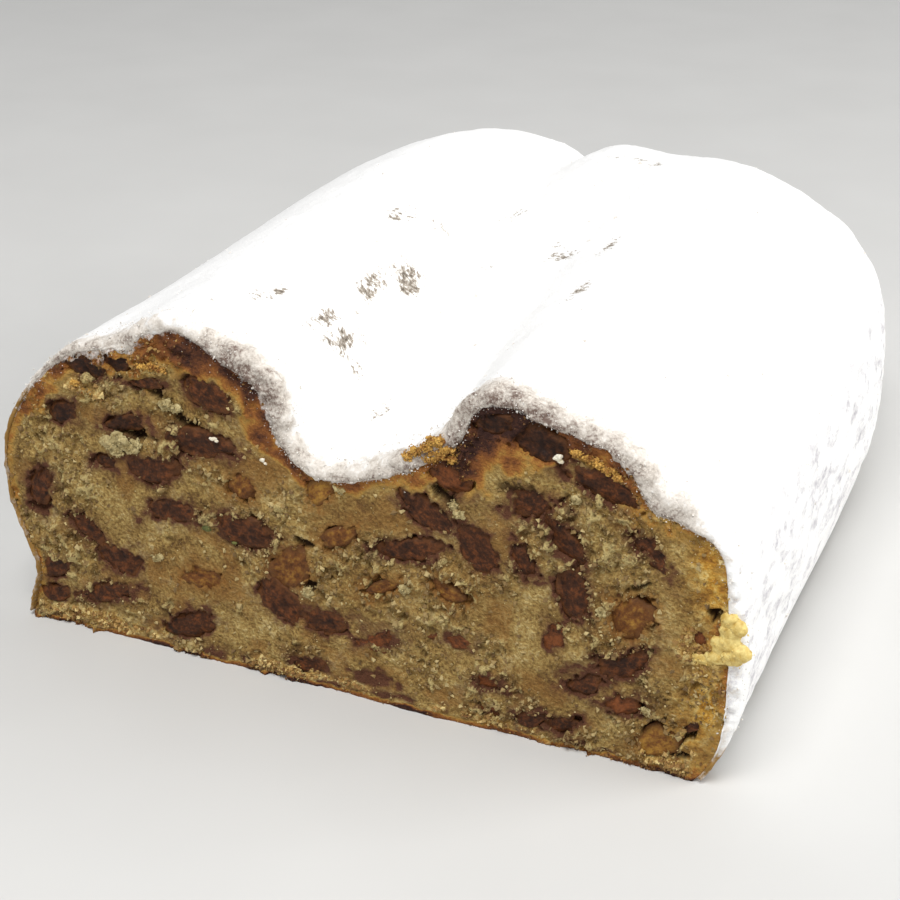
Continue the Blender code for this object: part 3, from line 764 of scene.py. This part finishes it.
# ---------------------------------------------------------------------------------------------------
# The fruit: raisins soaked in rum, and paler sultanas, kneaded into the dough. The knife has opened those
# that lie in the cut: a soft flat pulp inside a thin wrinkled skin.

FRUIT_SIDES = 56            # grid of a fruit: round it, and from its front's middle to its back's
FRUIT_RINGS = 24
FRUIT_GROWTH = 1.12         # the crumb closes over a fruit's edge by this much
FRUIT_SUNK = 0.2            # how far the pulp lies behind the cut, mm
FRUIT_ROUNDING = 0.6        # how far its edge curves back from its front, mm
STREAK_STRETCH = 0.45       # the pulp's streaks are drawn out along the fruit by 1 over this


def closed_lumps(grid):
    """Points and faces of lumps in one mesh, and how many points each has.

    The grid's axes are the lump, its rings from pole to pole, the places round a ring, and x, y, z. A pole
    is the middle of the ring beside it.
    """
    lumps, rings, sides = grid.shape[:3]
    count = rings * sides
    poles = np.stack([grid[:, 0].mean(1), grid[:, -1].mean(1)], 1)
    index = np.arange(count).reshape(rings, sides)
    index = np.vstack([np.full((1, sides), count), index, np.full((1, sides), count + 1)])
    one = quads(np.hstack([index, index[:, :1]])[::-1])
    points = np.concatenate([grid.reshape(lumps, -1, 3), poles], 1).reshape(-1, 3)
    return points, [[v + k * (count + 2) for v in f] for k in range(lumps) for f in one], count + 2


def fruit_shapes(names, seed):
    """Points and faces of the fruits in one mesh, how many points each has, and where in its fruit each is.

    Over the half turn from front to back the fruit's width is a power of the sine. Its front is a plateau
    that rounds off at the rim, its back a dome, and its outline, front and skin are uneven by noise.
    """
    parts = zip(*(fruit_places[name] for name in names))
    middle, half, tilt, bend = (np.array(part)[:, None, None] for part in parts)
    half = half * FRUIT_GROWTH
    tilt = np.radians(tilt)
    number = (seed + np.arange(len(names)))[:, None, None]
    turn = np.linspace(0, pi, FRUIT_RINGS)[1:-1, None]
    round_ = np.linspace(0, 2 * pi, FRUIT_SIDES, endpoint=False)
    out = np.sin(turn) ** 0.7
    ring = np.stack(np.broadcast_arrays(np.cos(round_) * out, np.sin(round_) * out, 3.7 * number), -1)
    uneven = 1.04 + 0.26 * noise(ring, 0.9, seed) + 0.12 * noise(ring, 0.4, seed + 1)
    uneven = uneven + 0.08 * noise(ring, 0.2, seed + 3)
    along = half[..., 0] * ring[..., 0] * uneven
    beside = half[..., 1] * (ring[..., 1] * uneven + bend * (ring[..., 0] ** 2 - 0.4))
    front = FRUIT_SUNK + FRUIT_ROUNDING * out**5 + 0 * along
    back = FRUIT_SUNK + FRUIT_ROUNDING + half[..., 1] * (1 - out**3) ** (1 / 3) + 0 * along
    deep = np.where(turn < pi / 2, front, back)
    c, s = np.cos(tilt), np.sin(tilt)
    x = middle[..., 0] + along * c - beside * s
    z = middle[..., 1] + along * s + beside * c
    grid = np.stack([x, deep, z], -1)
    folds = np.stack([0.35 * along, 1.2 * beside, 9.1 * number + 0 * along], -1)
    grid[..., 1] += 0.3 * rough(grid, 2.4, seed + 2) + 0.4 * rough(folds, 1.8, seed + 4) * out
    labels = {
        label: np.pad(values.reshape(len(names), -1), ((0, 0), (0, 2))).ravel()
        for label, values in {"along": along, "beside": beside, "rim": out + 0 * along}.items()
    }
    return *closed_lumps(grid), labels


def fruit_material(name, dark, mid, light, skin):
    """Soaked dried fruit: pulp from dark to light with the fruit's own tint, streaked along it and mottled,
    and the skin's colour at the rim."""
    made, tree, shader = new_material(name)
    place = add(tree, "TexCoord")["Object"]
    own, along, beside, rim = (
        add(tree, "Attribute", attribute_name=label)["Fac"] for label in ("tint", "along", "beside", "rim")
    )
    stretched, own_part = (
        add(tree, "Math", {0: pattern, 1: factor}, operation="MULTIPLY")[0]
        for pattern, factor in ((along, STREAK_STRETCH), (own, 50.0))
    )
    lengthwise = add(tree, "CombineXYZ", {"X": stretched, "Y": beside, "Z": own_part})["Vector"]
    streak, mottle = (
        add(tree, "TexNoise", {"Vector": where, "Scale": scale, "Detail": octaves, "Roughness": rise})["Fac"]
        for where, scale, octaves, rise in ((lengthwise, 1.3, 4.0, 0.65), (place, 1 / (1.3 * MM), 5.0, 0.7))
    )
    level = weighted(tree, own, (mottle, 1.6), (streak, 0.9))
    level = add(tree, "Math", {0: level, 1: 0.75}, operation="SUBTRACT")[0]
    tint = add(tree, "ValToRGB", {"Fac": level}, [(0.3, dark), (0.6, mid), (1.0, light)])["Color"]
    at_rim = add(tree, "Math", {0: weighted(tree, -0.4, (mottle, 0.8)), 1: rim}, operation="ADD")[0]
    at_rim = add(tree, "ValToRGB", {"Fac": at_rim}, [(0.6, "#000000"), (1.0, "#FFFFFF")])["Color"]
    tint = layered(tree, tint, (at_rim, skin))
    surfaced(tree, shader, tint, roughness=0.5, specular=0.18, height=mottle, strength=0.8, depth=0.5)
    return made


# Soaked raisins: dark brown pulp with a dull shine; some are cut thin and show reddish.
RED_RAISINS = (22, 25, 26, 29, 30, 35, 41, 44)
DARK_RAISINS = (4, 6, 10, 11, 28, 33)
tint_of = dict.fromkeys(RED_RAISINS, 0.36) | dict.fromkeys(DARK_RAISINS, -0.06)
raisin = fruit_material("raisins, soaked and baked", "#24130B", "#442614", "#7C4624", "#5E391D")
raisin_points, raisin_faces, each, labels = fruit_shapes(RAISINS, 200)
labels["tint"] = np.repeat([tint_of.get(int(name[-2:]), 0.1) for name in RAISINS], each)
raisins = new_piece("raisins", raisin_points, raisin_faces, raisin, labels)
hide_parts(*RAISINS)

# Soaked sultanas: the pale sort, amber to golden brown where the light gets into the pulp.
GOLDEN_SULTANAS = (4, 9)
sultana = fruit_material("sultanas, soaked and baked", "#4C2C15", "#70451F", "#A67B34", "#613F22")
sultana_points, sultana_faces, each, labels = fruit_shapes(SULTANAS, 300)
labels["tint"] = np.repeat([0.3 if int(name[-2:]) in GOLDEN_SULTANAS else 0.08 for name in SULTANAS], each)
sultanas = new_piece("sultanas", sultana_points, sultana_faces, sultana, labels)
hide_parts(*SULTANAS)

# ---------------------------------------------------------------------------------------------------
# Loose crumbs: bits of the torn crumb that the knife left lying on the cut, most of them pale inside bits.

CRUMB_COUNT = 16000
CRUMB_SIZES = (0.10, 0.6)       # mm, half of their width: the least and the most
OCTAHEDRON = np.array([(1, 0, 0), (-1, 0, 0), (0, 1, 0), (0, -1, 0), (0, 0, 1), (0, 0, -1)], float)
OCTAHEDRON_FACES = [(0, 2, 4), (2, 1, 4), (1, 3, 4), (3, 0, 4), (2, 0, 5), (1, 2, 5), (3, 1, 5), (0, 3, 5)]


def specks(centres, radii, rng):
    """Small angular lumps in one mesh: an octahedron, made uneven and turned at random, at each centre."""
    count = len(centres)
    corners = OCTAHEDRON * rng.uniform(0.5, 1.5, (count, len(OCTAHEDRON), 1))
    corners = corners + rng.uniform(-0.35, 0.35, corners.shape)
    w, i, j, k = rng.normal(size=(4, count))
    size = np.sqrt(w * w + i * i + j * j + k * k)
    w, i, j, k = w / size, i / size, j / size, k / size
    turn = np.array([
        [1 - 2 * (j * j + k * k), 2 * (i * j - k * w), 2 * (i * k + j * w)],
        [2 * (i * j + k * w), 1 - 2 * (i * i + k * k), 2 * (j * k - i * w)],
        [2 * (i * k - j * w), 2 * (j * k + i * w), 1 - 2 * (i * i + j * j)],
    ])
    points = centres[:, None] + radii[:, None, None] * np.einsum("xyn,ncy->ncx", turn, corners)
    faces = np.array(OCTAHEDRON_FACES) + len(OCTAHEDRON) * np.arange(count)[:, None, None]
    return points.reshape(-1, 3), faces.reshape(-1, 3).tolist(), len(OCTAHEDRON)


rng = np.random.default_rng(5)
flat_face = face_points.reshape(-1, 3)
# They lie on torn crumb and in its hollows, in the golden patches and along the base, and few on the fruit.
clear = ease(fruit_nearness(flat_face[:, [0, 2]], RAISINS + SULTANAS), -0.8, 0.3)
likely = (0.1 + masks["torn"].ravel() ** 2 + 0.5 * masks["hollow"].ravel()) * (0.06 + clear)
likely *= 1 + 2 * ease(-flat_face[:, 2], -4, -0.5) + 2 * masks["gold"].ravel()
chosen = rng.choice(len(flat_face), CRUMB_COUNT, p=likely / likely.sum())
crumb_size = CRUMB_SIZES[0] + (CRUMB_SIZES[1] - CRUMB_SIZES[0]) * rng.random(CRUMB_COUNT) ** 5
crumb_size *= 1 - 0.5 * masks["bake"].ravel()[chosen]
crumb_centres = flat_face[chosen] + rng.normal(0, 0.15, (CRUMB_COUNT, 3))
crumb_centres[:, 1] += 0.1 * crumb_size
crumb_centres[:, 2] = np.maximum(crumb_centres[:, 2], crumb_size)
bit_points, bit_faces, each = specks(crumb_centres, crumb_size, rng)
bit_tint = np.repeat(np.clip(rng.random(CRUMB_COUNT) - 0.6 * masks["bake"].ravel()[chosen], 0, 1), each)
bit_gold = np.repeat(np.maximum(masks["gold"], 2 * masks["bake"]).ravel()[chosen].clip(0, 1), each)

# Loose crumb: the same dough as the cut, dry and matt, from the crust's gold to the pale of the inside.
crumbs, tree, shader = new_material("baked sweet dough, crumbled")
own_shade, gold = (add(tree, "Attribute", attribute_name=label)["Fac"] for label in ("tint", "gold"))
plain_tint, gold_tint = (
    add(tree, "ValToRGB", {"Fac": own_shade}, shades)["Color"]
    for shades in (
        [(0.0, "#6A5130"), (0.6, "#8E7446"), (1.0, "#BFAB78")],
        [(0.0, "#704C24"), (0.6, "#A88348"), (1.0, "#DAC283")],
    )
)
surfaced(tree, shader, layered(tree, plain_tint, (gold, gold_tint)), roughness=0.85)
labels = {"tint": bit_tint, "gold": bit_gold}
loose = new_piece("loose_crumbs", bit_points, bit_faces, crumbs, labels, smooth=False)

# ---------------------------------------------------------------------------------------------------
# Loose sugar: grains and small clumps that cling to the coat's cut edge, roll on the coat, and lie on the
# top of the cut where the knife has dragged them down.

EDGE_GRAINS = 7000
EDGE_ROWS = (2, 16)         # the coat's rows that make its cut edge
COAT_GRAINS = 300
DRAGGED_GRAINS = 700
DRAGGED_REACH = 1.1         # how far down from the outline they lie on average, mm

# On the cut edge, except where it is bare.
rng = np.random.default_rng(9)
column = rng.integers(0, COAT_COLUMNS + 1, EDGE_GRAINS)
edge_row = rng.integers(*EDGE_ROWS, EDGE_GRAINS)
edge_centres = outside[edge_row, column] + rng.normal(0, (0.3, 0.12, 0.3), (EDGE_GRAINS, 3))
edge_size = 0.05 + 0.17 * rng.random(EDGE_GRAINS) ** 4
keep = rng.random(EDGE_GRAINS) > bare[edge_row, column] + 0.7 * ease(across[column], 62, 70)
edge_centres, edge_size = edge_centres[keep], edge_size[keep]
# Rolled onto the coat.
row = rng.integers(EDGE_ROWS[1], len(outside) - 12, COAT_GRAINS)
coat_centres = outside[row, rng.integers(20, COAT_COLUMNS - 20, COAT_GRAINS)]
coat_size = 0.15 + 0.4 * rng.random(COAT_GRAINS) ** 3
# Dragged down the cut: many are tried, and those high up stay.
tried = 4 * DRAGGED_GRAINS
dragged_place = rng.uniform(*COAT_PLACES, tried)
dragged_down = rng.exponential(DRAGGED_REACH, tried)[:, None]
dragged = curve_at(OUTLINE, dragged_place) - outward_at(OUTLINE, dragged_place) * dragged_down
stays = ease(dragged[:, 1], 40, 52) * (1 + bell(dragged[:, 0], -47, 8)) / 2 > rng.random(len(dragged))
dragged = dragged[stays][:DRAGGED_GRAINS]
lies_on = -cut_relief(dragged)[0]
dragged = np.stack([dragged[:, 0], lies_on, dragged[:, 1]], 1)
dragged_size = 0.04 + 0.1 * rng.random(len(dragged)) ** 2
grain_centres = np.vstack([edge_centres, coat_centres, dragged])
grain_sizes = np.concatenate([edge_size, coat_size, dragged_size])
grain_points, grain_faces, _ = specks(grain_centres, grain_sizes, rng)
grain_points[:, 2] = np.maximum(grain_points[:, 2], 0)

# Icing sugar in clumps: the coat's own powder.
clumped, tree, shader = new_material("icing sugar, clumped")
place = add(tree, "TexCoord")["Object"]
mottle = add(tree, "TexNoise", {"Vector": place, "Scale": 1 / (0.8 * MM)})["Fac"]
tint = add(tree, "ValToRGB", {"Fac": mottle}, [(0.35, "#CCC4B9"), (0.65, "#F1EEE8")])["Color"]
surfaced(tree, shader, tint, roughness=0.95)
grains = new_piece("loose_sugar", grain_points, grain_faces, clumped, smooth=False)

# ---------------------------------------------------------------------------------------------------
# Bits in the cut: clods of buttery yellow crumb that have come through the sugar at the right edge, pale
# clods that the knife has pulled up, and a few chips of blanched almond and of green candied peel.

# Each bit: across, distance from the cut, up, its three half sizes
BUTTERY_BITS = [
    (74.6, -0.3, 34.4, 1.9, 1.0, 1.6), (76.2, -0.6, 33.6, 1.5, 1.0, 1.5),
    (74.6, -0.4, 32.2, 1.9, 0.9, 1.9), (74.6, -0.5, 30.2, 2.1, 1.0, 2.0),
    (76.8, -0.7, 28.8, 2.0, 1.1, 1.6), (75.4, -0.6, 27.8, 2.2, 1.1, 1.6),
    (73.2, -0.4, 29.2, 2.0, 0.8, 2.2), (72.8, -0.4, 27.0, 2.3, 0.8, 1.6),
    (70.6, -0.2, 25.8, 2.2, 0.5, 1.1), (69.0, 0.0, 24.8, 1.6, 0.3, 0.8),
]
PALE_BITS = [
    (-44.2, -0.3, 44.9, 1.9, 0.8, 1.6), (-46.6, -0.2, 43.6, 1.7, 0.7, 1.3),
    (-42.2, -0.2, 43.2, 1.7, 0.6, 1.2), (-45.0, -0.1, 41.8, 1.6, 0.5, 1.0),
    (-40.4, -0.1, 44.6, 1.2, 0.6, 1.0), (25.3, -0.2, 43.9, 1.3, 0.7, 1.1),
    (24.2, -0.1, 45.2, 0.9, 0.6, 0.7), (-33.6, -0.2, 54.0, 1.5, 0.6, 1.2),
    (-31.6, -0.1, 53.6, 1.2, 0.5, 0.8), (-5.6, 0.0, 20.6, 1.0, 0.6, 1.0),
    (46.5, 0.0, 51.0, 1.0, 0.5, 0.8), (1.9, 0.1, 43.6, 0.9, 0.5, 0.7), (61.0, 0.0, 12.4, 1.1, 0.5, 0.7),
    (-38.0, 0.0, 20.3, 1.0, 0.5, 0.8), (14.5, 0.0, 26.0, 1.1, 0.5, 0.8), (52.0, 0.0, 30.5, 1.2, 0.5, 0.9),
]
GOLDEN_BITS = [
    (15.8, -0.1, 53.2, 0.9, 0.5, 0.6), (17.2, -0.3, 54.6, 1.1, 0.6, 0.7),
    (18.9, -0.4, 55.9, 1.2, 0.6, 0.7), (20.2, -0.5, 57.3, 1.0, 0.6, 0.8),
    (21.8, -0.5, 57.8, 1.0, 0.6, 0.6), (22.9, -0.3, 56.2, 1.1, 0.5, 0.7),
    (21.2, -0.3, 54.9, 1.2, 0.4, 0.6), (19.4, -0.1, 53.6, 1.0, 0.4, 0.6),
    (24.0, -0.2, 54.4, 0.8, 0.4, 0.6), (46.6, 0.0, 60.0, 0.9, 0.3, 0.4), (48.4, 0.0, 59.5, 1.1, 0.3, 0.4),
    (50.4, 0.0, 58.7, 1.0, 0.3, 0.5), (52.0, 0.0, 57.9, 1.0, 0.3, 0.4), (53.6, 0.0, 57.0, 0.9, 0.3, 0.4),
    (-38.2, 0.0, 60.7, 1.0, 0.3, 0.3), (-36.0, 0.0, 61.0, 1.1, 0.3, 0.4),
    (-34.0, 0.0, 60.7, 0.9, 0.3, 0.3), (-53.2, 0.0, 54.6, 0.9, 0.3, 0.5),
    (-51.4, 0.0, 53.3, 0.8, 0.3, 0.4),
]
ALMOND_BITS = [
    (-23.8, -0.3, 48.9, 0.9, 0.35, 0.4), (-23.0, -0.3, 48.6, 0.5, 0.3, 0.3),
    (43.3, -0.4, 58.7, 0.8, 0.5, 0.8), (43.9, -0.4, 58.2, 0.5, 0.4, 0.5),
    (-13.6, 0.0, 46.6, 0.5, 0.3, 0.5), (-13.1, 0.0, 45.9, 0.4, 0.3, 0.3),
]
PEEL_BITS = [(-26.6, 0.1, 29.5, 1.3, 0.4, 0.7), (-20.8, 0.1, 27.6, 0.7, 0.4, 0.4)]
BIT_SIDES = 30
BIT_RINGS = 20


def bit_shapes(rows, seed, jagged):
    """Points and faces of lumps in one mesh: ellipsoids whose surface noise pushes in and out, the more so
    the more jagged they are."""
    rows = np.array(rows, float)[:, None, None]
    turn = np.linspace(0, pi, BIT_RINGS)[1:-1, None]
    around = np.linspace(0, 2 * pi, BIT_SIDES, endpoint=False)
    ball = np.broadcast_arrays(np.sin(turn) * np.cos(around), -np.cos(turn), np.sin(turn) * np.sin(around))
    grid = rows[..., :3] + rows[..., 3:] * np.stack(ball, -1)
    push = 1 + jagged * (noise(grid, 1.1, seed) + 0.7 * noise(grid, 0.5, seed + 1))
    grid = rows[..., :3] + (grid - rows[..., :3]) * push[..., None]
    return closed_lumps(grid)[:2]


def bit_material(name, dark, light, roughness):
    """A soft bit whose colour wanders from dark to light over a millimetre or two."""
    made, tree, shader = new_material(name)
    place = add(tree, "TexCoord")["Object"]
    mottling = {"Vector": place, "Scale": 1 / (1.2 * MM), "Detail": 4.0, "Roughness": 0.7}
    mottle = add(tree, "TexNoise", mottling)["Fac"]
    tint = add(tree, "ValToRGB", {"Fac": mottle}, [(0.35, dark), (0.62, light)])["Color"]
    surfaced(tree, shader, tint, roughness, height=mottle, strength=0.5, depth=0.3)
    return made


# Buttery crumb: pale yellow and a little waxy. Pale crumb: dry and fluffy. Almond: ivory. Peel: dull green.
# The crumb ones are rough with small grains of themselves.
rng = np.random.default_rng(13)
for name, rows, slot, jagged, grain_count, *made_of in (
    ("buttery_bits", BUTTERY_BITS, "crumb", 0.16, 300, "buttery crumb", "#C2A04C", "#E6D084", 0.6),
    (
        "pale_bits", PALE_BITS, "crumb", 0.45, 1500, "baked sweet dough, pulled up", "#8A7646", "#C4B483",
        0.85,
    ),
    (
        "golden_bits", GOLDEN_BITS, "crumb", 0.6, 5200, "baked sweet dough, browned", "#7E480F", "#DDB057",
        0.75,
    ),
    (
        "almond_bits", ALMOND_BITS, "crumb", 0.5, 0, "almond, blanched and chopped", "#CFC3A4", "#F0E9D8",
        0.6,
    ),
    ("peel_bits", PEEL_BITS, "sultana", 0.3, 0, "candied peel, chopped", "#454A1E", "#63642C", 0.7),
):
    lump_points, lump_faces = bit_shapes(rows, 400 + len(rows), jagged)
    on_lump = lump_points[rng.integers(0, len(lump_points), grain_count)]
    on_lump = on_lump + rng.normal(0, 0.2, (grain_count, 3))
    grit_points, grit_faces, _ = specks(on_lump, 0.08 + 0.24 * rng.random(grain_count) ** 2, rng)
    lump_faces += [[v + len(lump_points) for v in f] for f in grit_faces]
    bits = new_piece(name, np.vstack([lump_points, grit_points]), lump_faces, bit_material(*made_of))

# ---------------------------------------------------------------------------------------------------
# The studio: a pale seamless floor, a pale sky, a big soft light overhead, one on the right and a weak one
# in front, so that the sugar is brilliant and the cut face lies in its own soft shade.

FLOOR_SIZE = 20.0       # metres
floor_material, tree, shader = new_material("painted board, matt")
place = add(tree, "TexCoord")["Object"]
mottle = add(tree, "TexNoise", {"Vector": place, "Scale": 1 / (40 * MM), "Detail": 2.0})["Fac"]
tint = add(tree, "ValToRGB", {"Fac": mottle}, [(0.3, "#CCCBC8"), (0.7, "#CFCECB")])["Color"]
surfaced(tree, shader, tint, roughness=0.9)
floor_mesh = bpy.data.meshes.new("floor")
quarters = ((-0.5, -0.5), (0.5, -0.5), (0.5, 0.5), (-0.5, 0.5))
floor_corners = [(FLOOR_SIZE * across, FLOOR_SIZE * back, 0) for across, back in quarters]
floor_mesh.from_pydata(floor_corners, [], [(0, 1, 2, 3)])
floor_mesh.materials.append(floor_material)
floor = bpy.data.objects.new("floor", floor_mesh)
bpy.context.scene.collection.objects.link(floor)

sky = bpy.data.worlds.new("pale sky")
sky.use_nodes = True
sky.node_tree.nodes["Background"].inputs["Color"].default_value = colour("#F2F4F8")
sky.node_tree.nodes["Background"].inputs["Strength"].default_value = 0.32
bpy.context.scene.world = sky
bpy.context.scene.view_settings.view_transform = "Standard"


def soft_light(name, place, target, size, power):
    """A square area light that faces its target; places are in metres and power in watts."""
    light = bpy.data.lights.new(name, "AREA")
    light.size = size
    light.energy = power
    lamp = bpy.data.objects.new(name, light)
    lamp.location = place
    lamp.rotation_euler = (Vector(target) - Vector(place)).to_track_quat("-Z", "Y").to_euler()
    bpy.context.scene.collection.objects.link(lamp)


soft_light("overhead", (0.05, -0.6, 1.15), (0, 0, 0.03), 0.6, 14)
soft_light("right", (1.1, 0.3, 0.6), (0.03, 0, 0.03), 0.7, 10)
soft_light("front", (0.2, -1.3, 0.5), (0, -0.1, 0.03), 0.6, 1.5)

# The camera looks down on the cut from the right, as one looks at a loaf on a table.
VIEW_AZIMUTH = radians(23.567)
VIEW_ELEVATION = radians(26.740)
EYE = (132.5, -356.2, 197.06)       # mm
LENS = 73.0
camera_data = bpy.data.cameras.new("camera")
camera_data.lens = LENS
camera_data.sensor_width = 36.0
camera_data.clip_start = 0.01
camera = bpy.data.objects.new("camera", camera_data)
camera.location = Vector(EYE) * MM
camera.rotation_euler = (pi / 2 - VIEW_ELEVATION, 0, VIEW_AZIMUTH)
bpy.context.scene.collection.objects.link(camera)
bpy.context.scene.camera = camera
